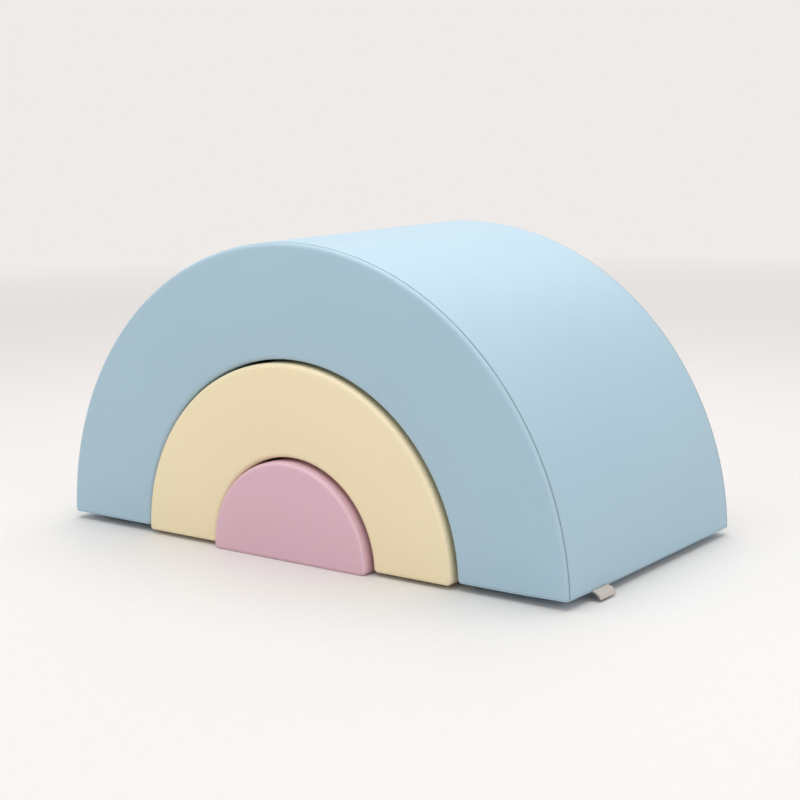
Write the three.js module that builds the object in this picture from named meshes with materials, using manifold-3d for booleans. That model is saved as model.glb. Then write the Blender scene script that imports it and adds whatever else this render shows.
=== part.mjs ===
// Soft play bridge: three nesting foam blocks in sewn leatherette covers.
// A yellow arch sits snugly over a pink half disc and a blue arch over the yellow one. Both grip
// the block inside them, with their feet just off the floor.
// Units are millimetres, +Z is up and the front of the bridge faces -Y.
import * as THREE from "three";
import { mergeVertices } from "three/addons/utils/BufferGeometryUtils.js";
import Module from "manifold-3d";

// Blocks
const DEPTH = 463;
const BLUE_RADIUS = 450;
const BLUE_WALL = 169;
const BLUE_LIFT = 10.7;
const BLUE_CUT = 11;
const BLUE_TUNNEL_CUT = 6.3;
const BLUE_TUNNEL_SHIFT = -1.5;
const YELLOW_WALL = 134.6;
const YELLOW_LIFT = 6;
const YELLOW_TUNNEL_CUT = 1.8;
const YELLOW_TUNNEL_SHIFT = 5.1;
const NEST_PLAY = 3.4;
const LEAN_GAP = 0.5;
const YELLOW_LEAN_ANGLE = THREE.MathUtils.degToRad(195);
const PINK_LEAN_ANGLE = THREE.MathUtils.degToRad(195);
const YELLOW_PROUD = 4.6;
const PINK_PROUD = 14;
const EDGE = 7.5;
const FOOT_CORNER = 10;

// Covers
const COVER = 1.5;
const FIT_GAP = 0.3;
const SEAM_SHARE = 0.85;
const FOOT_SEAM = 3;

// Zips in the bases
const ZIP_INSET = 60;
const ZIP_SLOT = 14;
const TAPE_WIDTH = 17;
const TAPE_THICK = 0.7;
const COIL_WIDTH = 2.6;
const COIL_HEIGHT = 2.2;
const SLIDER_LENGTH = 12;
const SLIDER_WIDTH = 9;
const SLIDER_PLATE = 0.7;
const SLIDER_FLANGE = 0.9;
const SLIDER_POST = 2;
const SLIDER_WEB = 0.3;
const STOP_LENGTH = 3;
const GROOVE_HEADROOM = 3;

// Woven label in the right side seam of the blue cover
const LABEL_WIDTH = 40;
const LABEL_THICK = 1.2;
const LABEL_OUT = 13;
const LABEL_SETBACK = 60;
const LABEL_CLEAR = 2;

// Facets
const BLUE_STEPS = 32;
const YELLOW_STEPS = 26;
const PINK_STEPS = 20;
const EDGE_STEPS = 3;
const CORNER_STEPS = 3;
const LABEL_STEPS = 8;

// Inner blocks lean in the tunnels that they stand in, as far as their play lets them.
const LEAN = NEST_PLAY - LEAN_GAP;

// rise is the height of a circle's centre above the block's own base.
const blue = {
  radius: BLUE_RADIUS,
  rise: -BLUE_CUT,
  tunnel: BLUE_RADIUS - BLUE_WALL,
  tunnelShift: BLUE_TUNNEL_SHIFT,
  tunnelRise: -BLUE_TUNNEL_CUT,
  steps: BLUE_STEPS,
};
const yellow = {
  radius: blue.tunnel - NEST_PLAY,
  rise: BLUE_LIFT - YELLOW_LIFT + blue.tunnelRise + LEAN * Math.sin(YELLOW_LEAN_ANGLE),
  tunnel: blue.tunnel - NEST_PLAY - YELLOW_WALL,
  tunnelShift: YELLOW_TUNNEL_SHIFT,
  tunnelRise: -YELLOW_TUNNEL_CUT,
  steps: YELLOW_STEPS,
};
const pink = {
  radius: yellow.tunnel - NEST_PLAY,
  rise: YELLOW_LIFT + yellow.tunnelRise + LEAN * Math.sin(PINK_LEAN_ANGLE),
  steps: PINK_STEPS,
};

const leatherette = (colour) =>
  new THREE.MeshStandardMaterial({ color: colour, roughness: 0.45, metalness: 0 });
const BLUE_COVER = leatherette(0x9fb7c6);
const YELLOW_COVER = leatherette(0xe4d7b5);
const PINK_COVER = leatherette(0xd0abbc);
const FOAM = new THREE.MeshStandardMaterial({ color: 0xf0ede2, roughness: 0.95, metalness: 0 });
const ZIP_TAPE = new THREE.MeshStandardMaterial({ color: 0xdedbd2, roughness: 0.85, metalness: 0 });
const ZIP_COIL = new THREE.MeshStandardMaterial({ color: 0xe8e6df, roughness: 0.4, metalness: 0 });
const ZIP_METAL = new THREE.MeshStandardMaterial({ color: 0xb9b9b6, roughness: 0.35, metalness: 0.9 });
const LABEL_CLOTH = new THREE.MeshStandardMaterial({ color: 0xb9b3a8, roughness: 0.9, metalness: 0 });

const wasm = await Module();
wasm.setup();

function solidOf(geometry) {
  geometry.deleteAttribute("normal");
  geometry.deleteAttribute("uv");
  const merged = mergeVertices(geometry);
  const vertProperties = merged.attributes.position.array;
  const triVerts = Uint32Array.from(merged.index.array);
  return new wasm.Manifold(new wasm.Mesh({ numProp: 3, vertProperties, triVerts }));
}

function meshOf(name, solid, material) {
  const { vertProperties, triVerts } = solid.getMesh();
  const geometry = new THREE.BufferGeometry();
  geometry.setAttribute("position", new THREE.BufferAttribute(vertProperties, 3));
  geometry.setIndex(new THREE.BufferAttribute(triVerts, 1));
  geometry.computeVertexNormals();
  const mesh = new THREE.Mesh(geometry, material.clone());
  mesh.name = name;
  return mesh;
}

function box(x0, x1, y0, y1, z0, z1) {
  const geometry = new THREE.BoxGeometry(x1 - x0, y1 - y0, z1 - z0);
  geometry.translate((x0 + x1) / 2, (y0 + y1) / 2, (z0 + z1) / 2);
  return solidOf(geometry);
}

// A section drawn in X and Z, drawn out along +Y from y0, with round edges at both ends.
function prism(points, y0, length, edge = 0) {
  const geometry = new THREE.ExtrudeGeometry(new THREE.Shape(points), {
    depth: length - 2 * edge,
    bevelEnabled: edge > 0,
    bevelThickness: edge,
    bevelSize: edge,
    bevelOffset: -edge,
    bevelSegments: EDGE_STEPS,
  });
  geometry.rotateX(Math.PI / 2);
  geometry.translate(0, y0 + length - edge, 0);
  return solidOf(geometry);
}

function arc(x, z, radius, from, to, steps) {
  const points = [];
  for (let i = 0; i <= steps; i += 1) {
    const angle = from + ((to - from) * i) / steps;
    points.push(new THREE.Vector2(x + radius * Math.cos(angle), z + radius * Math.sin(angle)));
  }
  return points;
}

// The half ring (or half disc) of a block, drawn in by inset. It runs on below the base.
function outline(block, inset) {
  const low = -2 * EDGE;
  const radius = block.radius - inset;
  const start = Math.asin((low - block.rise) / radius);
  const points = arc(0, block.rise, radius, start, Math.PI - start, block.steps);
  if (!block.tunnel) {
    return points;
  }
  const bore = block.tunnel + inset;
  const turn = Math.asin((low - block.tunnelRise) / bore);
  return [
    ...points,
    ...arc(block.tunnelShift, block.tunnelRise, bore, Math.PI - turn, turn, block.steps),
  ];
}

// What the round corner of a foot leaves out, along the whole depth. From a circle, sign is the side
// of the foot and out points away from the foam.
function cornerWaste(x, z, radius, inset, sign, out) {
  const corner = FOOT_CORNER - inset;
  const up = inset + corner - z;
  const middle = x + sign * Math.sqrt((radius - sign * out * corner) ** 2 - up ** 2);
  const tilt = Math.asin(up / (radius - sign * out * corner));
  const end = out > 0 ? sign * out * tilt : Math.PI - sign * out * tilt;
  const bend = arc(middle, inset + corner, corner, out > 0 ? -Math.PI / 2 : 1.5 * Math.PI, end, CORNER_STEPS);
  const last = bend[bend.length - 1];
  const beside = last.x + out * FOOT_CORNER;
  const around = [
    new THREE.Vector2(beside, last.y),
    new THREE.Vector2(beside, -FOOT_CORNER),
    new THREE.Vector2(middle, -FOOT_CORNER),
  ];
  return prism([...bend, ...around], -FOOT_CORNER, DEPTH + 2 * FOOT_CORNER);
}

// A block, drawn in by inset on every side: round edges at both ends, cut level at the base, with
// round corners at the feet. The side that the label hangs from keeps its sharp lower edge.
function body(block, inset) {
  const far = block.radius + DEPTH;
  const whole = prism(outline(block, inset), inset, DEPTH - 2 * inset, EDGE - inset);
  let level = whole.intersect(box(-far, far, -far, far, inset, far));
  for (const side of [-1, 1]) {
    if (block !== blue || side < 0) {
      level = level.subtract(cornerWaste(0, block.rise, block.radius - inset, inset, side, side));
    }
    if (block.tunnel) {
      const bore = block.tunnel + inset;
      level = level.subtract(cornerWaste(block.tunnelShift, block.tunnelRise, bore, inset, side, -side));
    }
  }
  return level;
}

// Sewn cover: front and rear panels, bands between them, and bases. They meet in the round edges.
function cover(block) {
  const far = block.radius + DEPTH;
  const shell = body(block, 0).subtract(body(block, COVER));
  const seam = SEAM_SHARE * EDGE;
  const upper = shell.intersect(box(-far, far, -far, far, FOOT_SEAM, far));
  return {
    front: upper.intersect(box(-far, far, -far, seam, 0, far)),
    rear: upper.intersect(box(-far, far, DEPTH - seam, far, 0, far)),
    bands: upper.intersect(box(-far, far, seam + FIT_GAP, DEPTH - seam - FIT_GAP, 0, far)),
    base: shell.intersect(box(-far, far, -far, far, -far, FOOT_SEAM - FIT_GAP)),
  };
}

// Heights in a zip, from the floor up: slider foot, lower plate, tape, coil, upper plate.
const TAPE_BOTTOM = COVER + FIT_GAP;
const TAPE_TOP = TAPE_BOTTOM + TAPE_THICK;
const COIL_BOTTOM = TAPE_BOTTOM;
const COIL_TOP = COIL_BOTTOM + COIL_HEIGHT;
const SLIDER_BOTTOM = COIL_BOTTOM - FIT_GAP - SLIDER_PLATE;
const SLIDER_TOP = COIL_TOP + FIT_GAP + SLIDER_PLATE;
const TAPE_EDGE = FIT_GAP + COIL_WIDTH + FIT_GAP;
const ZIP_HALF = TAPE_EDGE + TAPE_WIDTH;
const ZIP_LENGTH = DEPTH - 2 * ZIP_INSET;

// Zip without a pull: two tapes, two coils, a slider parked at the closed end, and stops. The plates
// of the slider are joined by a thin web, which passes between the coils.
function zip(prefix) {
  const group = new THREE.Group();
  const coilEnd = ZIP_LENGTH - STOP_LENGTH - FIT_GAP - SLIDER_POST - FIT_GAP;
  const coilStart = STOP_LENGTH + FIT_GAP;
  for (const [side, sign] of [["outer", -1], ["inner", 1]]) {
    const across = (from, to, y0, y1, z0, z1) =>
      sign < 0 ? box(-to, -from, y0, y1, z0, z1) : box(from, to, y0, y1, z0, z1);
    const tape = across(TAPE_EDGE, ZIP_HALF, 0, ZIP_LENGTH, TAPE_BOTTOM, TAPE_TOP);
    group.add(meshOf(`${prefix}_zip_tape_${side}`, tape, ZIP_TAPE));

    const middle = sign * (FIT_GAP + COIL_WIDTH / 2);
    const loop = arc(0, 0, 1, Math.PI / 8, 2 * Math.PI + Math.PI / 8, 8).slice(0, -1).map((point) =>
      new THREE.Vector2(
        middle + (point.x * COIL_WIDTH) / 2,
        COIL_BOTTOM + ((1 + point.y) * COIL_HEIGHT) / 2));
    const coil = prism(loop, coilStart, coilEnd - coilStart);
    group.add(meshOf(`${prefix}_zip_coil_${side}`, coil, ZIP_COIL));

    const stopStart = ZIP_LENGTH - STOP_LENGTH;
    const stop = across(FIT_GAP, TAPE_EDGE - FIT_GAP, stopStart, ZIP_LENGTH, COIL_BOTTOM, COIL_TOP);
    group.add(meshOf(`${prefix}_zip_top_stop_${side}`, stop, ZIP_METAL));
  }
  const bottomStop = box(FIT_GAP - TAPE_EDGE, TAPE_EDGE - FIT_GAP, 0, STOP_LENGTH, COIL_BOTTOM, COIL_TOP);
  group.add(meshOf(`${prefix}_zip_bottom_stop`, bottomStop, ZIP_METAL));

  const end = ZIP_LENGTH - STOP_LENGTH - FIT_GAP;
  const start = end - SLIDER_LENGTH;
  const half = SLIDER_WIDTH / 2;
  const slider = box(-half, half, start, end, SLIDER_BOTTOM, SLIDER_BOTTOM + SLIDER_PLATE)
    .add(box(-half, half, start, end, SLIDER_TOP - SLIDER_PLATE, SLIDER_TOP))
    .add(box(-SLIDER_WEB / 2, SLIDER_WEB / 2, end - SLIDER_POST, end, SLIDER_BOTTOM, SLIDER_TOP))
    .add(box(-half, SLIDER_FLANGE - half, start, end, TAPE_TOP + FIT_GAP, SLIDER_TOP))
    .add(box(half - SLIDER_FLANGE, half, start, end, TAPE_TOP + FIT_GAP, SLIDER_TOP));
  group.add(meshOf(`${prefix}_zip_slider`, slider, ZIP_METAL));
  return group;
}

// One block: foam core, cover pieces, and the zip in the base at zipX.
function blockGroup(prefix, block, material, zipX) {
  const group = new THREE.Group();
  const far = block.radius + DEPTH;
  const { front, rear, bands, base } = cover(block);
  const groove = box(
    zipX - ZIP_HALF - FIT_GAP, zipX + ZIP_HALF + FIT_GAP,
    ZIP_INSET - FIT_GAP, DEPTH - ZIP_INSET + FIT_GAP,
    0, SLIDER_TOP + GROOVE_HEADROOM);
  const core = body(block, COVER + FIT_GAP).subtract(groove);
  group.add(meshOf(`${prefix}_foam_core`, core, FOAM));
  group.add(meshOf(`${prefix}_front_panel`, front, material));
  group.add(meshOf(`${prefix}_rear_panel`, rear, material));

  let zipBase = base;
  if (block.tunnel) {
    const midway = { ...block, radius: (block.radius + block.tunnel) / 2, tunnel: 0 };
    const middle = prism(outline(midway, 0), 0, DEPTH);
    group.add(meshOf(`${prefix}_outer_band`, bands.subtract(middle), material));
    group.add(meshOf(`${prefix}_inner_band`, bands.intersect(middle), material));
    group.add(meshOf(`${prefix}_right_base`, base.intersect(box(0, far, -far, far, -far, far)), material));
    zipBase = base.intersect(box(-far, 0, -far, far, -far, far));
  } else {
    group.add(meshOf(`${prefix}_band`, bands, material));
  }

  const slot = box(zipX - ZIP_SLOT / 2, zipX + ZIP_SLOT / 2, ZIP_INSET, DEPTH - ZIP_INSET, -far, far)
    .add(box(zipX - FIT_GAP / 2, zipX + FIT_GAP / 2, -far, far, -far, far));
  const halves = zipBase.subtract(slot);
  const outerHalf = halves.intersect(box(-far, zipX, -far, far, -far, far));
  const innerHalf = halves.intersect(box(zipX, far, -far, far, -far, far));
  group.add(meshOf(`${prefix}_zip_base_outer`, outerHalf, material));
  group.add(meshOf(`${prefix}_zip_base_inner`, innerHalf, material));

  const zipGroup = zip(prefix);
  zipGroup.position.set(zipX, ZIP_INSET, 0);
  group.add(zipGroup);
  return group;
}

// Folded label, sewn into the seam round the base and drooping towards the floor.
const LABEL_ROOT = FIT_GAP + Math.sqrt(blue.radius ** 2 - (FOOT_SEAM - blue.rise) ** 2);

function label() {
  const drop = FOOT_SEAM + BLUE_LIFT - LABEL_THICK - LABEL_CLEAR;
  const upper = [];
  const lower = [];
  for (let i = 0; i <= LABEL_STEPS; i += 1) {
    const share = i / LABEL_STEPS;
    const x = LABEL_ROOT + LABEL_OUT * share;
    const z = LABEL_THICK / 2 + LABEL_CLEAR - BLUE_LIFT + (drop / 2) * (1 + Math.cos(Math.PI * share));
    upper.push(new THREE.Vector2(x, z + LABEL_THICK / 2));
    lower.push(new THREE.Vector2(x, z - LABEL_THICK / 2));
  }
  const section = [...lower, ...upper.reverse()];
  return meshOf("blue_label", prism(section, LABEL_SETBACK, LABEL_WIDTH), LABEL_CLOTH);
}

const blueZip = (blue.tunnelShift - blue.tunnel - blue.radius) / 2;
const blueArch = blockGroup("blue", blue, BLUE_COVER, blueZip);
blueArch.add(label());
blueArch.position.set(0, 0, BLUE_LIFT);

const yellowZip = (yellow.tunnelShift - yellow.tunnel - yellow.radius) / 2;
const yellowArch = blockGroup("yellow", yellow, YELLOW_COVER, yellowZip);
const yellowX = blue.tunnelShift + LEAN * Math.cos(YELLOW_LEAN_ANGLE);
yellowArch.position.set(yellowX, -YELLOW_PROUD, YELLOW_LIFT);

const pinkBlock = blockGroup("pink", pink, PINK_COVER, 0);
const pinkX = yellowX + yellow.tunnelShift + LEAN * Math.cos(PINK_LEAN_ANGLE);
pinkBlock.position.set(pinkX, -PINK_PROUD, 0);

// The origin is the middle of the bridge's box, on the floor.
const bridge = new THREE.Group();
bridge.add(blueArch, yellowArch, pinkBlock);
const footTilt = Math.asin((FOOT_CORNER - blue.rise) / (blue.radius - FOOT_CORNER));
const blueHalfWidth = blue.radius * Math.cos(footTilt);
const boxMiddle = (LABEL_ROOT + LABEL_OUT - blueHalfWidth) / 2;
bridge.position.set(-boxMiddle, (PINK_PROUD - DEPTH) / 2, 0);

export default bridge;
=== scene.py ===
import math

import bmesh
import bpy
from mathutils import Euler, Matrix, Vector, noise


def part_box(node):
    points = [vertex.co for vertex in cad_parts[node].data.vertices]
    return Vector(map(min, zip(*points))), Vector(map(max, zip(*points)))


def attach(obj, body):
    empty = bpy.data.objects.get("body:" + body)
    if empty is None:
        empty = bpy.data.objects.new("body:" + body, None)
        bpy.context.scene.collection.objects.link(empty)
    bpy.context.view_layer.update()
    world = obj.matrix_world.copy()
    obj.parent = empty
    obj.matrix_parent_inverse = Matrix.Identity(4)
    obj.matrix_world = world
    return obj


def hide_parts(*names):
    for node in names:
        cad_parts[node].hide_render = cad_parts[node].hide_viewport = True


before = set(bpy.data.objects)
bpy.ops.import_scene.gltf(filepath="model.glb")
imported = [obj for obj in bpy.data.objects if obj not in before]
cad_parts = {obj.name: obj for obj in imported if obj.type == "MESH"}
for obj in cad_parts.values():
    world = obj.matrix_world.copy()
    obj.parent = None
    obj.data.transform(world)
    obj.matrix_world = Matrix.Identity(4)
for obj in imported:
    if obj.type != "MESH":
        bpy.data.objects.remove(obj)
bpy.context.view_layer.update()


# Foam cores: three blocks of open-cell polyurethane, cut to a half ring or half disc.
# Each fills its cover tightly and has a groove underneath for the zip.
BLOCKS = ("blue", "yellow", "pink")
FOAM_COLOUR = (0.87, 0.84, 0.74, 1.0)
FOAM_SHADE = (0.78, 0.73, 0.60, 1.0)
FOAM_CELLS = 420.0


def add_node(material, kind, values=(), **settings):
    node = material.node_tree.nodes.new(kind)
    for name, value in settings.items():
        setattr(node, name, value)
    for name, value in dict(values).items():
        node.inputs[name].default_value = value
    return node


def new_material(name):
    """A node material, with its shader and its object coordinates."""
    material = bpy.data.materials.new(name)
    material.use_nodes = True
    shader = material.node_tree.nodes["Principled BSDF"]
    place = add_node(material, "ShaderNodeTexCoord").outputs["Object"]
    return material, shader, place


def link(material, source, target):
    material.node_tree.links.new(source, target)


def speckle(material, place, scale, detail=3.0):
    grain = add_node(material, "ShaderNodeTexNoise", {"Scale": scale, "Detail": detail})
    link(material, place, grain.inputs["Vector"])
    return grain.outputs["Fac"]


def two_tone(material, factor, low, high, start=0.3, end=0.7):
    ramp = add_node(material, "ShaderNodeValToRGB")
    ramp.color_ramp.elements[0].position = start
    ramp.color_ramp.elements[0].color = low
    ramp.color_ramp.elements[1].position = end
    ramp.color_ramp.elements[1].color = high
    link(material, factor, ramp.inputs["Fac"])
    return ramp.outputs["Color"]


def reach_to(material, value, limits, low, high):
    """A value as another one, which runs from low to high between two limits."""
    start, end = limits
    reach = add_node(material, "ShaderNodeMapRange",
                     {"From Min": start, "From Max": end, "To Min": low, "To Max": high})
    link(material, value, reach.inputs["Value"])
    return reach.outputs["Result"]


def spread(material, factor, low, high):
    """A 0 to 1 factor as a value from low to high."""
    return reach_to(material, factor, (0.0, 1.0), low, high)


def bump(material, height, strength, distance, under=None):
    relief = add_node(material, "ShaderNodeBump", {"Strength": strength, "Distance": distance})
    link(material, height, relief.inputs["Height"])
    if under is not None:
        link(material, under, relief.inputs["Normal"])
    return relief.outputs["Normal"]


def dress(node, material):
    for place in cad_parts[node].material_slots:
        place.material = material


def foam_finish():
    material, shader, place = new_material("cut_foam")
    cells = add_node(material, "ShaderNodeTexVoronoi", {"Scale": FOAM_CELLS})
    link(material, place, cells.inputs["Vector"])
    colour = two_tone(material, speckle(material, place, scale=14.0), FOAM_SHADE, FOAM_COLOUR)
    link(material, colour, shader.inputs["Base Color"])
    relief = bump(material, cells.outputs["Distance"], strength=0.7, distance=0.0008)
    link(material, relief, shader.inputs["Normal"])
    shader.inputs["Roughness"].default_value = 0.95
    return material


foam = foam_finish()
for block in BLOCKS:
    dress(f"{block}_foam_core", foam)


# Covers: smooth satin leatherette, sewn inside out and turned. A front and a rear panel carry
# the round edges, bands run between them over the arch and through the tunnel, and the bases
# close the feet. Panels meet in plain seams with their allowances turned in against the foam.
COVER_THICK = 0.0011
CAD_COVER = 0.0015
SEAM_WIDTH = 0.0010
SEAM_OPEN = 0.00012
FOOT_SEAM_EASE = 0.0014
SEAM_ALLOWANCE = 0.004
SEAM_LOOPS = (-0.0036, -0.002, -0.001, 0.0, 0.001, 0.002, 0.004, 0.008)
FOOT_LOOPS = (0.0002, 0.0006, 0.0012, 0.002, 0.003, 0.004, 0.006, 0.008, 0.0105, 0.02, 0.04, 0.07)
FOOT_ROUND = 0.003
FOOT_CORNER = 0.0072
EDGE_ROUND = 0.0075
FOOT_SPARE = 0.025
EDGE_SEGMENTS = 8
HUB_RADIUS = 0.012
BAND_STEP = 0.03
WALL_ROWS = 8
FACE_CROWN = 0.0018
FACE_RISE = 0.05
RIPPLE_LENGTH = 0.11
RIPPLE_FROM = 0.028
SPRING_REACH = 0.09
ZIP_SLOT = 0.014
STITCH_PITCH = 0.0045
FOLD_BACK = 0.0052
# Painted highlight: the pale colour laid along the folds at the rounded rims.
FOLD_HIGHLIGHT_COLOUR = (0.95, 0.95, 0.95, 1.0)
FLAT_LEAN = 0.08
FACE_FLAT = 0.99
SHARP_EDGE = 1.0
WELD = 1e-6
ON_LEVEL = 1e-5
# Painted shade: the cover colour is darkened within this distance of a seam, the foot seam included.
SEAM_SHADE_REACH = (0.0003, 0.0018)
# Painted highlight: the cover colour pales towards white within this distance of the fold.
FOLD_HIGHLIGHT_REACH = (0.0002, 0.0012)
PUCKER_REACH = (0.001, 0.007)
PEBBLE_SCALE = 620.0


class Block:
    """Sizes of one block, and its place as read from its CAD nodes."""

    def __init__(self, name, radius, bore, ripple, turns, seam_sink, spring=0.0):
        self.name = name
        self.radius = radius
        self.bore = bore
        self.ripple = ripple
        self.turns = turns
        self.seam_sink = seam_sink
        self.spring = spring
        front_low, front_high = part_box(f"{name}_front_panel")
        rear_low, rear_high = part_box(f"{name}_rear_panel")
        self.front = front_low.y
        self.rear = rear_high.y
        self.front_seam = front_high.y
        self.rear_seam = rear_low.y
        self.foot_seam = front_low.z
        self.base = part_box(f"{name}_zip_base_outer")[0].z
        self.middle = (front_low.x + front_high.x) / 2
        self.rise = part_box(f"{name}_outer_band" if bore else f"{name}_band")[1].z - radius - self.base
        self.zip_x = sum(point.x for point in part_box(f"{name}_zip_slider")) / 2
        self.zip_ends = [point.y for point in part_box(f"{name}_zip_tape_outer")]
        self.bore_shift = 0.0
        self.bore_rise = 0.0
        if bore:
            bore_low, bore_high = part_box(f"{name}_inner_band")
            self.bore_shift = (bore_low.x + bore_high.x) / 2 - self.middle
            self.bore_rise = bore_high.z - CAD_COVER - bore - self.base

    def on_arc(self, turn, share):
        """A point of the front face: share runs from the tunnel (or the middle) to the outer arc."""
        across, up = math.cos(turn), math.sin(turn)
        reach = self.rise * up + math.sqrt(self.radius ** 2 - (self.rise * across) ** 2)
        inner = 0.0
        if self.bore:
            inner = self.bore_rise * up + math.sqrt(self.bore ** 2 - (self.bore_rise * across) ** 2)
        length = inner + share * (reach - inner)
        shift = self.bore_shift * (1 - share)
        return (self.middle + shift + length * across, self.front, self.base + length * up)

    def depth_inside(self, place):
        """How far a point of the front face lies inside the nearest edge of that face."""
        up = place.z - self.base
        depth = min(self.radius - math.hypot(place.x - self.middle, up - self.rise), up)
        if self.bore:
            bore_gap = math.hypot(place.x - self.middle - self.bore_shift, up - self.bore_rise) - self.bore
            depth = min(depth, bore_gap)
        return depth


def face_sheet(bm, block):
    """The front face: a radial line spun over the half turn, and run on a little below the base."""
    hub = block.bore or HUB_RADIUS
    root = bm.verts.new((hub, 0, 0))
    tip = bm.verts.new((block.radius, 0, 0))
    line = bm.edges.new((root, tip))
    bmesh.ops.subdivide_edges(bm, edges=[line], cuts=WALL_ROWS - 1)
    bmesh.ops.spin(bm, geom=bm.verts[:] + bm.edges[:], cent=(0, 0, 0), axis=(0, -1, 0), angle=math.pi,
                   steps=block.turns)
    inner = [vert for vert in bm.verts if vert.co.xz.length < hub + ON_LEVEL]
    inner.sort(key=lambda vert: -vert.co.x)
    for vert in bm.verts:
        turn = math.atan2(max(vert.co.z, 0.0), vert.co.x)
        vert.co = block.on_arc(turn, (vert.co.xz.length - block.bore) / (block.radius - block.bore))
    if not block.bore:
        bm.faces.new(inner)
    level = [edge for edge in bm.edges if max(vert.co.z for vert in edge.verts) < block.base + ON_LEVEL]
    drawn = bmesh.ops.extrude_edge_only(bm, edges=level)
    low = [item for item in drawn["geom"] if isinstance(item, bmesh.types.BMVert)]
    bmesh.ops.translate(bm, verts=low, vec=(0, 0, -FOOT_SPARE))


def cut(bm, point, normal, faces=None):
    faces = bm.faces[:] if faces is None else faces
    edges = {edge for face in faces for edge in face.edges}
    verts = {vert for face in faces for vert in face.verts}
    bmesh.ops.bisect_plane(bm, geom=[*verts, *edges, *faces], dist=WELD, plane_co=point, plane_no=normal)


def block_skin(block):
    """The closed outer skin of a block, with round edges and loops of edges beside its seams."""
    bm = bmesh.new()
    face_sheet(bm, block)
    drawn = bmesh.ops.extrude_face_region(bm, geom=bm.faces[:])
    back = [item for item in drawn["geom"] if isinstance(item, bmesh.types.BMVert)]
    bmesh.ops.translate(bm, verts=back, vec=(0, block.rear - block.front, 0))
    bmesh.ops.remove_doubles(bm, verts=bm.verts[:], dist=WELD)
    bmesh.ops.recalc_face_normals(bm, faces=bm.faces[:])
    rims = [edge for edge in bm.edges if edge.calc_face_angle() > SHARP_EDGE
            and abs(edge.verts[0].co.y - edge.verts[1].co.y) < EDGE_ROUND]
    bmesh.ops.bevel(bm, geom=rims, offset=EDGE_ROUND, affect="EDGES", segments=EDGE_SEGMENTS,
                    profile=0.5, material=-1, clamp_overlap=False)
    bmesh.ops.bisect_plane(bm, geom=bm.verts[:] + bm.edges[:] + bm.faces[:], dist=WELD,
                           plane_co=(0, 0, block.base), plane_no=(0, 0, -1), clear_outer=True)
    for offset in SEAM_LOOPS:
        cut(bm, (0, block.front_seam + offset, 0), (0, 1, 0))
        cut(bm, (0, block.rear_seam - offset, 0), (0, 1, 0))
    for height in FOOT_LOOPS:
        cut(bm, (0, 0, block.base + height), (0, 0, 1))
    bands = math.ceil((block.rear_seam - block.front_seam) / BAND_STEP)
    for band in range(1, bands):
        share = band / bands
        cut(bm, (0, block.front_seam + share * (block.rear_seam - block.front_seam), 0), (0, 1, 0))
    close_feet(bm, block)
    for side in (-ZIP_SLOT / 2, 0, ZIP_SLOT / 2):
        cut(bm, (block.zip_x + side, 0, 0), (1, 0, 0), base_faces(bm, block))
    for end in block.zip_ends:
        cut(bm, (0, end, 0), (0, 1, 0), base_faces(bm, block))
    bm.normal_update()
    return bm


def close_feet(bm, block):
    """Rounds the lowest edge of the feet, most at sides that aren't sprung, and closes each foot flat."""
    bm.normal_update()
    moves = {}
    for vert in bm.verts:
        height = max(vert.co.z - block.base, 0.0)
        sideways = Vector((vert.normal.x, vert.normal.y, 0)).normalized()
        sharp = block.spring and vert.co.x > block.middle + (block.radius + block.bore) / 2
        bend = FOOT_ROUND if sharp else FOOT_ROUND + (FOOT_CORNER - FOOT_ROUND) * sideways.x ** 2
        if height < bend:
            moves[vert] = sideways * (bend - math.sqrt(bend ** 2 - (bend - height) ** 2))
    for vert, move in moves.items():
        vert.co -= move
    loose = {edge for edge in bm.edges if edge.is_boundary}
    while loose:
        edge = loose.pop()
        ring = list(edge.verts)
        while True:
            onward = [edge for edge in ring[-1].link_edges if edge in loose]
            if not onward:
                break
            loose.remove(onward[0])
            ring.append(onward[0].other_vert(ring[-1]))
        bm.faces.new(ring[:-1])
    bmesh.ops.recalc_face_normals(bm, faces=bm.faces[:])


def base_faces(bm, block):
    return [face for face in bm.faces if face.calc_center_median().z < block.foot_seam]


def smooth_rise(value):
    value = min(max(value, 0.0), 1.0)
    return value * value * (3 - 2 * value)


def soften(bm, block):
    """Sinks the seams, crowns the faces, ripples the skin and lifts a sprung foot corner."""
    gap_layer = bm.verts.layers.float.new("seam_gap")
    run_layer = bm.verts.layers.float.new("seam_run")
    fold_layer = bm.verts.layers.float.new("fold_gap")
    out_layer = bm.verts.layers.float_vector.new("outward")
    moves = []
    for vert in bm.verts:
        place = vert.co
        foot_gap = abs(place.z - block.foot_seam) + FOOT_SEAM_EASE
        side_gap = min(abs(place.y - block.front_seam), abs(place.y - block.rear_seam))
        if place.z < block.foot_seam:
            side_gap = foot_gap
        gap = min(foot_gap, side_gap)
        vert[gap_layer] = gap
        angle = math.atan2(place.z - block.base, place.x - block.middle)
        vert[run_layer] = place.x + place.y if foot_gap < side_gap else angle * block.radius
        vert[out_layer] = vert.normal
        lean = math.acos(min(abs(vert.normal.y), 1.0))
        vert[fold_layer] = FOLD_BACK - EDGE_ROUND * lean if lean > FLAT_LEAN else EDGE_ROUND
        move = -block.seam_sink * math.exp(-((gap / SEAM_WIDTH) ** 2))
        if place.z - block.base > RIPPLE_FROM:
            move += block.ripple * noise.noise(place / RIPPLE_LENGTH)
        if abs(vert.normal.y) > FACE_FLAT:
            move += FACE_CROWN * smooth_rise((block.depth_inside(place) - EDGE_ROUND) / FACE_RISE)
        corner = Vector((block.middle + block.radius, block.front, block.base))
        lift = block.spring * (1 - smooth_rise((place - corner).length / SPRING_REACH))
        moves.append(vert.normal * move + Vector((0, 0, lift)))
    for vert, move in zip(bm.verts, moves):
        vert.co += move


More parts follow.
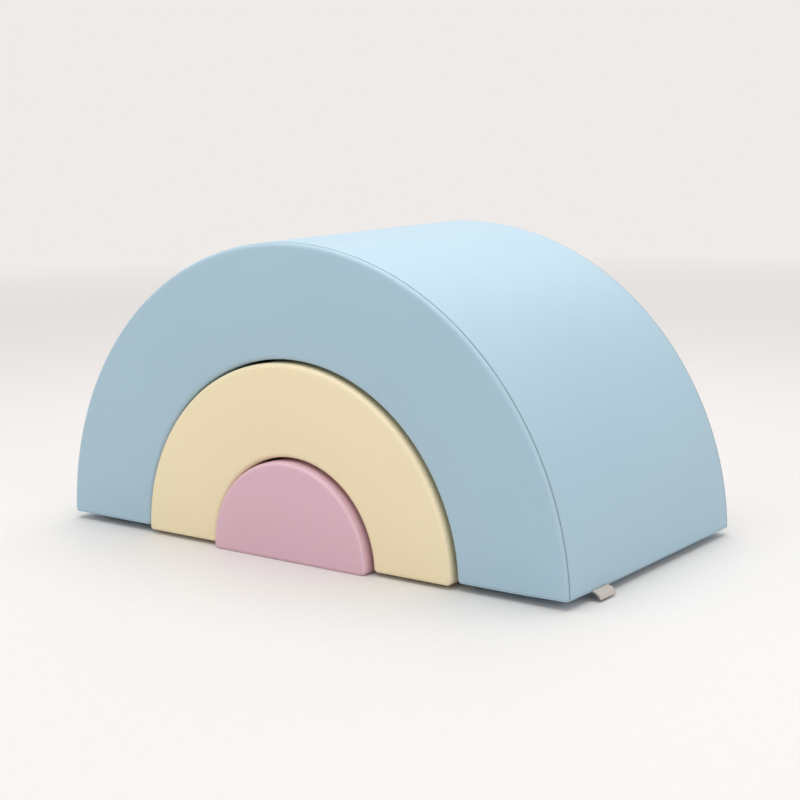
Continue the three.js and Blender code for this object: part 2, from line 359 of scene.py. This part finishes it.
def panel_of(block, place):
    """The sewn panel that a point of the skin belongs to; none in the slot of the zip."""
    if place.z < block.foot_seam:
        across = place.x - block.zip_x
        if block.bore and place.x > block.middle:
            return "right_base"
        if abs(across) < ZIP_SLOT / 2 and block.zip_ends[0] < place.y < block.zip_ends[1]:
            return None
        return "zip_base_outer" if across < 0 else "zip_base_inner"
    if place.y < block.front_seam:
        return "front_panel"
    if place.y > block.rear_seam:
        return "rear_panel"
    if not block.bore:
        return "band"
    radius = math.hypot(place.x - block.middle, place.z - block.base)
    return "outer_band" if radius > (block.radius + block.bore) / 2 else "inner_band"


def turn_in(bm):
    """Draws a panel's border back from the seam and turns its allowance in towards the foam."""
    out_layer = bm.verts.layers.float_vector["outward"]
    border = [edge for edge in bm.edges if edge.is_boundary]
    shifts = {}
    for vert in {vert for edge in border for vert in edge.verts}:
        centre = Vector()
        for face in vert.link_faces:
            centre += face.calc_center_median() / len(vert.link_faces)
        inward = centre - vert.co
        inward -= inward.project(vert[out_layer])
        shifts[vert] = inward.normalized() * SEAM_OPEN
    for vert, shift in shifts.items():
        vert.co += shift
    turned = bmesh.ops.extrude_edge_only(bm, edges=border)
    for item in turned["geom"]:
        if isinstance(item, bmesh.types.BMVert):
            item.co -= item[out_layer] * SEAM_ALLOWANCE
    bmesh.ops.recalc_face_normals(bm, faces=bm.faces[:])


def panel_piece(block, skin, panel, panels, material, body):
    """One sewn panel, cut out of the skin, with its thickness and its place in the frame."""
    bm = skin.copy()
    bm.faces.ensure_lookup_table()
    others = [face for face in bm.faces if panels[face.index] != panel]
    bmesh.ops.delete(bm, geom=others, context="FACES")
    turn_in(bm)
    for face in bm.faces:
        face.smooth = True
    mesh = bpy.data.meshes.new(f"{block.name}_cover_{panel}")
    bm.to_mesh(mesh)
    bm.free()
    mesh.attributes.remove(mesh.attributes["outward"])
    mesh.materials.append(material)
    piece = bpy.data.objects.new(mesh.name, mesh)
    bpy.context.scene.collection.objects.link(piece)
    wall = piece.modifiers.new("leatherette", "SOLIDIFY")
    wall.thickness = COVER_THICK
    wall.offset = -1
    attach(piece, body)
    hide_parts(f"{block.name}_{panel}")


def cover_block(block, material, body):
    skin = block_skin(block)
    skin.faces.ensure_lookup_table()
    panels = [panel_of(block, face.calc_center_median()) for face in skin.faces]
    soften(skin, block)
    for panel in sorted({panel for panel in panels if panel}):
        panel_piece(block, skin, panel, panels, material, body)
    skin.free()


def leatherette(name, colour, shade, seam_shade, fold_highlight):
    """Satin coated cloth: fine pebble grain, puckered stitches, painted shade darkening the seams and a
    painted highlight along the folds.
    """
    material, shader, place = new_material(name)
    mottle = speckle(material, place, scale=5.0, detail=5.0)
    tone = two_tone(material, mottle, shade, colour, start=0.25, end=0.75)
    # Painted shade: the colour darkens towards each sunk seam and towards the foot seam, where shade falls.
    gap = add_node(material, "ShaderNodeAttribute", attribute_name="seam_gap").outputs["Fac"]
    near = reach_to(material, gap, SEAM_SHADE_REACH, seam_shade, 1.0)
    seam_shaded = add_node(material, "ShaderNodeMix", {"Factor": 1.0}, data_type="RGBA", blend_type="MULTIPLY")
    link(material, tone, seam_shaded.inputs[6])
    link(material, near, seam_shaded.inputs[7])
    # Painted highlight: a pale line is mixed into the colour along the fold of each rounded rim.
    fold = add_node(material, "ShaderNodeAttribute", attribute_name="fold_gap").outputs["Fac"]
    crease = add_node(material, "ShaderNodeMath", operation="ABSOLUTE")
    link(material, fold, crease.inputs[0])
    ridge = reach_to(material, crease.outputs["Value"], FOLD_HIGHLIGHT_REACH, 1.0, 0.0)
    fold_lit = add_node(material, "ShaderNodeMix", data_type="RGBA")
    link(material, spread(material, ridge, 0.0, fold_highlight), fold_lit.inputs["Factor"])
    link(material, seam_shaded.outputs[2], fold_lit.inputs[6])
    fold_lit.inputs[7].default_value = FOLD_HIGHLIGHT_COLOUR
    link(material, fold_lit.outputs[2], shader.inputs["Base Color"])

    run = add_node(material, "ShaderNodeAttribute", attribute_name="seam_run").outputs["Fac"]
    pitch = add_node(material, "ShaderNodeMath", operation="MULTIPLY")
    pitch.inputs[1].default_value = 2 * math.pi / STITCH_PITCH
    link(material, run, pitch.inputs[0])
    wave = add_node(material, "ShaderNodeMath", operation="SINE")
    link(material, pitch.outputs["Value"], wave.inputs[0])
    fade = reach_to(material, gap, PUCKER_REACH, 1.0, 0.0)
    pucker = add_node(material, "ShaderNodeMath", operation="MULTIPLY")
    link(material, wave.outputs["Value"], pucker.inputs[0])
    link(material, fade, pucker.inputs[1])

    pebble = add_node(material, "ShaderNodeTexVoronoi", {"Scale": PEBBLE_SCALE}, feature="SMOOTH_F1")
    link(material, place, pebble.inputs["Vector"])
    puckered = bump(material, pucker.outputs["Value"], strength=0.2, distance=0.0003)
    grained = bump(material, pebble.outputs["Distance"], strength=0.1, distance=0.0004, under=puckered)
    link(material, grained, shader.inputs["Normal"])
    sheen = spread(material, speckle(material, place, scale=38.0), low=0.36, high=0.48)
    link(material, sheen, shader.inputs["Roughness"])
    shader.inputs["Specular IOR Level"].default_value = 0.75
    return material


# Blue arch: the outer block, grey-blue. It grips the yellow arch, its feet just off the floor,
# and the front corner of its right foot springs up a little.
BLUE_RADIUS = 0.450
BLUE_BORE = 0.281
BLUE_RIPPLE = 0.0002
BLUE_TURNS = 96
BLUE_SPRING = 0.0015
BLUE_SEAM_SINK = 0.0008
# Painted shade: how dark the blue cover is painted along its seams.
BLUE_SEAM_SHADE = 0.52
# Painted highlight: how far the blue fold line is painted towards white.
BLUE_FOLD_HIGHLIGHT = 0.05
BLUE_TONE = (0.371, 0.535, 0.648, 1.0)
BLUE_SHADE = (0.359, 0.520, 0.633, 1.0)
blue = Block("blue", BLUE_RADIUS, BLUE_BORE, BLUE_RIPPLE, BLUE_TURNS, BLUE_SEAM_SINK, BLUE_SPRING)
blue_cloth = leatherette("blue_leatherette", BLUE_TONE, BLUE_SHADE, BLUE_SEAM_SHADE, BLUE_FOLD_HIGHLIGHT)
cover_block(blue, blue_cloth, "blue_arch")

# Yellow arch: the middle block, cream yellow, a little proud of the blue one. It grips the pink
# half disc, which just fills its tunnel.
YELLOW_RADIUS = 0.2776
YELLOW_BORE = 0.143
YELLOW_RIPPLE = 0.00015
YELLOW_TURNS = 80
YELLOW_SEAM_SINK = 0.0003
# Painted shade: how dark the yellow cover is painted along its seams.
YELLOW_SEAM_SHADE = 0.93
# Painted highlight: how far the yellow fold line is painted towards white.
YELLOW_FOLD_HIGHLIGHT = 0.2
YELLOW_TONE = (0.865, 0.745, 0.490, 1.0)
YELLOW_SHADE = (0.845, 0.725, 0.470, 1.0)
yellow = Block("yellow", YELLOW_RADIUS, YELLOW_BORE, YELLOW_RIPPLE, YELLOW_TURNS, YELLOW_SEAM_SINK)
yellow_cloth = leatherette(
    "yellow_leatherette", YELLOW_TONE, YELLOW_SHADE, YELLOW_SEAM_SHADE, YELLOW_FOLD_HIGHLIGHT
)
cover_block(yellow, yellow_cloth, "yellow_arch")

# Pink half disc: the inner block, dusty pink, proud of the yellow one. It stands on the floor
# and holds the two arches up.
PINK_RADIUS = 0.1396
PINK_RIPPLE = 0.00015
PINK_TURNS = 64
PINK_SEAM_SINK = 0.0003
# Painted shade: how dark the pink cover is painted along its seams.
PINK_SEAM_SHADE = 0.93
# Painted highlight: how far the pink fold line is painted towards white.
PINK_FOLD_HIGHLIGHT = 0.22
PINK_TONE = (0.690, 0.440, 0.530, 1.0)
PINK_SHADE = (0.670, 0.425, 0.512, 1.0)
pink = Block("pink", PINK_RADIUS, 0.0, PINK_RIPPLE, PINK_TURNS, PINK_SEAM_SINK)
pink_cloth = leatherette("pink_leatherette", PINK_TONE, PINK_SHADE, PINK_SEAM_SHADE, PINK_FOLD_HIGHLIGHT)
cover_block(pink, pink_cloth, "pink_block")


# Zips under the bases: woven tapes, nylon coils, and a slider without a pull between small
# crimped stops. They lie above the floor, in the slot between the two halves of a base.
TAPE_COLOUR = (0.72, 0.70, 0.64, 1.0)
TAPE_SHADE = (0.60, 0.58, 0.52, 1.0)
COIL_COLOUR = (0.80, 0.79, 0.74, 1.0)
COIL_SHADE = (0.66, 0.65, 0.60, 1.0)
NICKEL = (0.62, 0.61, 0.58, 1.0)
NICKEL_WORN = (0.48, 0.47, 0.45, 1.0)
TAPE_THREADS = 900.0
COIL_TURNS = 420.0


def ribs(material, place, scale, direction):
    wave = add_node(material, "ShaderNodeTexWave", {"Scale": scale, "Distortion": 0.3},
                    bands_direction=direction)
    link(material, place, wave.inputs["Vector"])
    return wave.outputs["Fac"]


def ribbed_finish(name, colour, shade, scale, roughness, depth):
    material, shader, place = new_material(name)
    threads = ribs(material, place, scale, "Y")
    link(material, two_tone(material, threads, shade, colour), shader.inputs["Base Color"])
    link(material, bump(material, threads, strength=0.6, distance=depth), shader.inputs["Normal"])
    shader.inputs["Roughness"].default_value = roughness
    return material


def nickel_finish():
    material, shader, place = new_material("nickelled_metal")
    scuffs = speckle(material, place, scale=260.0, detail=6.0)
    link(material, two_tone(material, scuffs, NICKEL_WORN, NICKEL), shader.inputs["Base Color"])
    link(material, spread(material, scuffs, low=0.25, high=0.5), shader.inputs["Roughness"])
    link(material, bump(material, scuffs, strength=0.2, distance=0.0001), shader.inputs["Normal"])
    shader.inputs["Metallic"].default_value = 1.0
    return material


tape_cloth = ribbed_finish(
    "zip_tape_cloth", TAPE_COLOUR, TAPE_SHADE, TAPE_THREADS, roughness=0.85, depth=0.0002
)
coil_nylon = ribbed_finish(
    "zip_coil_nylon", COIL_COLOUR, COIL_SHADE, COIL_TURNS, roughness=0.4, depth=0.0006
)
nickel = nickel_finish()
for block in BLOCKS:
    for side in ("outer", "inner"):
        dress(f"{block}_zip_tape_{side}", tape_cloth)
        dress(f"{block}_zip_coil_{side}", coil_nylon)
        dress(f"{block}_zip_top_stop_{side}", nickel)
    dress(f"{block}_zip_bottom_stop", nickel)
    dress(f"{block}_zip_slider", nickel)


# Label: a strip of woven polyester, folded in two and caught in the seam above the right foot's
# base. It comes out under the side and curls down towards the floor.
LABEL_THREAD = (0.50, 0.47, 0.43, 1.0)
LABEL_PALE = (0.62, 0.59, 0.55, 1.0)
LABEL_THICK = 0.00035
LABEL_FOLD = 0.0016
LABEL_WEAVE = 1500.0
LABEL_COLUMNS = 12
LABEL_STEPS = 10
LABEL_WAVE = 0.0006
LABEL_WAVE_LENGTH = 0.018
LABEL_SLOPE = 20
LABEL_CURL = 55
LABEL_CURL_RATE = 1.5
label_low, label_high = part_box("blue_label")
LABEL_REACH = label_high.x - label_low.x


def label_path():
    """The folded strip seen along Y: out over a round bend and down, round the fold and back below."""
    turns = [min(1.0, LABEL_CURL_RATE * (step + 0.5) / LABEL_STEPS) for step in range(LABEL_STEPS)]
    slopes = [math.radians(LABEL_SLOPE + LABEL_CURL * turn) for turn in turns]
    across = [sum(math.cos(slope) for slope in slopes[:step]) for step in range(LABEL_STEPS + 1)]
    down = [sum(math.sin(slope) for slope in slopes[:step]) for step in range(LABEL_STEPS + 1)]
    start = label_high.z - LABEL_THICK
    drop = start - label_low.z - LABEL_FOLD - LABEL_THICK
    top = [(label_low.x + LABEL_REACH * x / across[-1], start - drop * z / down[-1])
           for x, z in zip(across, down)]
    end_x, end_z = top[-1]
    fold = [(end_x + LABEL_FOLD / 3, end_z - LABEL_FOLD / 2)]
    under = [(x - LABEL_FOLD, z - LABEL_FOLD / 2) for x, z in reversed(top)]
    return top + fold + under


def label_piece(material):
    bm = bmesh.new()
    front = [bm.verts.new((x, label_low.y, z)) for x, z in label_path()]
    line = [bm.edges.new(pair) for pair in zip(front, front[1:])]
    for column in range(LABEL_COLUMNS):
        drawn = bmesh.ops.extrude_edge_only(bm, edges=line)
        verts = [item for item in drawn["geom"] if isinstance(item, bmesh.types.BMVert)]
        line = [item for item in drawn["geom"] if isinstance(item, bmesh.types.BMEdge)
                and all(vert in verts for vert in item.verts)]
        bmesh.ops.translate(bm, verts=verts, vec=(0, (label_high.y - label_low.y) / LABEL_COLUMNS, 0))
    for vert in bm.verts:
        loose = smooth_rise((vert.co.x - label_low.x) / LABEL_REACH)
        vert.co.z += LABEL_WAVE * loose * (1 + noise.noise(vert.co / LABEL_WAVE_LENGTH)) / 2
    bmesh.ops.recalc_face_normals(bm, faces=bm.faces[:])
    for face in bm.faces:
        face.smooth = True
    mesh = bpy.data.meshes.new("blue_side_label")
    bm.to_mesh(mesh)
    bm.free()
    mesh.materials.append(material)
    piece = bpy.data.objects.new(mesh.name, mesh)
    bpy.context.scene.collection.objects.link(piece)
    wall = piece.modifiers.new("woven_cloth", "SOLIDIFY")
    wall.thickness = LABEL_THICK
    wall.offset = 0
    return piece


def label_finish():
    material, shader, place = new_material("label_weave")
    warp = ribs(material, place, LABEL_WEAVE, "X")
    weft = ribs(material, place, LABEL_WEAVE, "Y")
    cross = add_node(material, "ShaderNodeMath", operation="MULTIPLY")
    link(material, warp, cross.inputs[0])
    link(material, weft, cross.inputs[1])
    weave = cross.outputs["Value"]
    colour = two_tone(material, weave, LABEL_THREAD, LABEL_PALE, start=0.1, end=0.6)
    link(material, colour, shader.inputs["Base Color"])
    link(material, bump(material, weave, strength=0.4, distance=0.0002), shader.inputs["Normal"])
    shader.inputs["Roughness"].default_value = 0.75
    return material


label = label_piece(label_finish())
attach(label, "blue_arch")
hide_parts("blue_label")


# Studio: a pale floor that fades into a warm white surround, a broad lamp overhead, and weaker
# ones high behind, at the front left and at the right.
FLOOR_SIZE = 14.0
FLOOR_TONE = (0.740, 0.730, 0.722, 1.0)
FLOOR_SPECK = (0.728, 0.718, 0.710, 1.0)
FLOOR_FADE = (1.6, 4.5)
SURROUND = (0.863, 0.831, 0.807, 1.0)
SURROUND_LIGHT = 1.0
SURROUND_FILL = 0.72
floor_mesh = bmesh.new()
bmesh.ops.create_grid(floor_mesh, x_segments=8, y_segments=8, size=FLOOR_SIZE)
floor_data = bpy.data.meshes.new("studio_floor")
floor_mesh.to_mesh(floor_data)
floor_mesh.free()
floor = bpy.data.objects.new("studio_floor", floor_data)
bpy.context.scene.collection.objects.link(floor)
floor_paint, floor_shader, floor_place = new_material("studio_floor_paint")
floor_grain = speckle(floor_paint, floor_place, scale=60.0)
floor_tone = two_tone(floor_paint, floor_grain, FLOOR_SPECK, FLOOR_TONE)
link(floor_paint, floor_tone, floor_shader.inputs["Base Color"])
floor_shader.inputs["Roughness"].default_value = 0.6
away = add_node(floor_paint, "ShaderNodeVectorMath", operation="LENGTH")
link(floor_paint, floor_place, away.inputs[0])
fade = reach_to(floor_paint, away.outputs["Value"], FLOOR_FADE, 0.0, 1.0)
haze = add_node(floor_paint, "ShaderNodeEmission", {"Color": SURROUND, "Strength": SURROUND_LIGHT})
blend = add_node(floor_paint, "ShaderNodeMixShader")
link(floor_paint, fade, blend.inputs["Fac"])
link(floor_paint, floor_shader.outputs["BSDF"], blend.inputs[1])
link(floor_paint, haze.outputs["Emission"], blend.inputs[2])
link(floor_paint, blend.outputs["Shader"], floor_paint.node_tree.nodes["Material Output"].inputs["Surface"])
floor_data.materials.append(floor_paint)

world = bpy.data.worlds.new("studio_surround")
bpy.context.scene.world = world
world.use_nodes = True
world.node_tree.nodes["Background"].inputs["Color"].default_value = SURROUND
ray = add_node(world, "ShaderNodeLightPath")
mirrored = add_node(world, "ShaderNodeMath", operation="ADD")
link(world, ray.outputs["Is Glossy Ray"], mirrored.inputs[0])
link(world, ray.outputs["Is Transmission Ray"], mirrored.inputs[1])
seen = add_node(world, "ShaderNodeMath", operation="ADD", use_clamp=True)
link(world, ray.outputs["Is Camera Ray"], seen.inputs[0])
link(world, mirrored.outputs["Value"], seen.inputs[1])
glow = spread(world, seen.outputs["Value"], SURROUND_FILL, SURROUND_LIGHT)
link(world, glow, world.node_tree.nodes["Background"].inputs["Strength"])


def softbox(name, place, aim, size, power):
    lamp = bpy.data.lights.new(name, "AREA")
    lamp.shape = "RECTANGLE"
    lamp.size, lamp.size_y = size
    lamp.energy = power
    holder = bpy.data.objects.new(name, lamp)
    holder.location = place
    holder.rotation_euler = (Vector(aim) - Vector(place)).to_track_quat("-Z", "Y").to_euler()
    bpy.context.scene.collection.objects.link(holder)


softbox("overhead_softbox", place=(0.0, -0.1, 3.0), aim=(0.0, -0.1, 0.0), size=(3.4, 3.4), power=76.0)
softbox("back_softbox", place=(-1.0, 3.0, 2.6), aim=(0.0, 0.0, 0.3), size=(3.0, 1.6), power=10.0)
softbox("front_softbox", place=(-2.4, -3.2, 1.8), aim=(0.0, 0.0, 0.2), size=(3.6, 2.4), power=18.0)
softbox("side_softbox", place=(3.4, -1.2, 1.5), aim=(0.0, 0.0, 0.2), size=(2.4, 2.0), power=16.0)

# Camera: at the photograph's place, below eye height and to the right of the front.
CAMERA_PLACE = (1.4820, -1.9679, 0.6374)
CAMERA_YAW = math.radians(36.643)
CAMERA_PITCH = math.radians(10.153)
CAMERA_ROLL = math.radians(-0.892)
CAMERA_LENS = 74.99
CAMERA_SENSOR = 36.0
camera_data = bpy.data.cameras.new("photograph_camera")
camera_data.lens = CAMERA_LENS
camera_data.sensor_width = CAMERA_SENSOR
camera = bpy.data.objects.new("photograph_camera", camera_data)
aim = Euler((math.pi / 2 - CAMERA_PITCH, 0, CAMERA_YAW)).to_matrix().to_4x4()
camera.matrix_world = Matrix.Translation(CAMERA_PLACE) @ aim @ Matrix.Rotation(CAMERA_ROLL, 4, "Z")
bpy.context.scene.collection.objects.link(camera)
bpy.context.scene.camera = camera
bpy.context.scene.view_settings.view_transform = "Standard"
